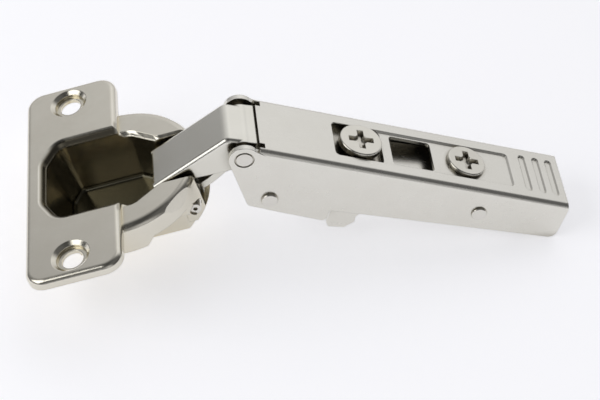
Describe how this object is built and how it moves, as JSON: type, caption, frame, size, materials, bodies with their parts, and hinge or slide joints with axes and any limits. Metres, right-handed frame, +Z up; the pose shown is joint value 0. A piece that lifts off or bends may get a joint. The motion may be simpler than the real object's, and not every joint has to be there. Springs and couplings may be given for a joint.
{
  "type": "concealed cup hinge",
  "caption": "Concealed cabinet hinge in nickel: screw-on 35 mm cup, two-link fold, and a clip-on arm with overlay and depth screws.",
  "frame": {"origin": "middle of the part's outline on the table it lies on", "axes": "+X from the cup to the arm's tail, +Y to the far side, +Z up from the table"},
  "size_m": [0.1146, 0.056, 0.0295],
  "materials": {
    "nickel_sheet": "satin",
    "nickel_cast": "gloss",
    "steel_pin": "satin",
    "spring_steel": "satin"
  },
  "bodies": {
    "base": {"carrier": "nickel_cast", "lever_pin": "steel_pin", "lever_spring": "spring_steel"},
    "lever": {"clip_lever": "nickel_cast"},
    "slide": {"adjust_slide": "nickel_sheet", "tilt_rivet_near": "steel_pin", "tilt_rivet_far": "steel_pin"},
    "front_screw": {"overlay_screw": "steel_pin"},
    "rear_screw": {"depth_screw": "steel_pin"},
    "arm_body": {"arm": "nickel_sheet", "pin_a": "steel_pin", "pin_c": "steel_pin", "closing_spring_near": "spring_steel", "closing_spring_far": "spring_steel"},
    "outer_link_body": {"outer_link": "nickel_sheet"},
    "cup_body": {"cup": "nickel_cast", "pin_b_near": "steel_pin", "pin_b_far": "steel_pin", "pin_d": "steel_pin"},
    "inner_link_body": {"inner_link": "nickel_sheet"}
  },
  "joints": [
    {"name": "depth", "type": "slide", "parent": "base", "child": "slide", "axis": [0.9759, 0, -0.2183], "range_m": [-0.002, 0.003]},
    {"name": "overlay", "type": "hinge", "parent": "slide", "child": "arm_body", "pos_m": [0.03767, 0, 0.00823], "axis": [0, -1, 0], "range_deg": [-1.5, 1.5]},
    {"name": "overlay_turn", "type": "hinge", "parent": "slide", "child": "front_screw", "pos_m": [0.01233, 0, 0.02323], "axis": [0.2183, 0, 0.9759], "range_deg": [-265.89, 265.89]},
    {"name": "depth_turn", "type": "hinge", "parent": "arm_body", "child": "rear_screw", "pos_m": [0.03541, 0, 0.01554], "axis": [0.2783, 0, 0.9605], "range_deg": [-290, 434]},
    {"name": "outer_turn", "type": "hinge", "parent": "arm_body", "child": "outer_link_body", "pos_m": [-0.01283, 0, 0.02619], "axis": [0, -1, 0], "range_deg": [0, 39.21]},
    {"name": "fold", "type": "hinge", "parent": "outer_link_body", "child": "cup_body", "pos_m": [-0.02693, 0, 0.01494], "axis": [0, -1, 0], "range_deg": [-159.16, 0]},
    {"name": "inner_turn", "type": "hinge", "parent": "cup_body", "child": "inner_link_body", "pos_m": [-0.02271, 0, 0.01416], "axis": [0, -1, 0], "range_deg": [0, 155.73]},
    {"name": "release", "type": "hinge", "parent": "base", "child": "lever", "pos_m": [0.04506, 0, 0.00555], "axis": [0, -1, 0], "range_deg": [0, 14], "stiffness_Nm_per_rad": 0.05, "springref_deg": -20.05}
  ],
  "couplings": [
    {"joint": "outer_turn", "follows": "fold", "ratio": -0.24604},
    {"joint": "inner_turn", "follows": "fold", "ratio": -0.97811},
    {"joint": "overlay_turn", "follows": "overlay", "ratio": 175.93},
    {"joint": "depth_turn", "follows": "depth", "rad_per_m": 2513.3}
  ]
}
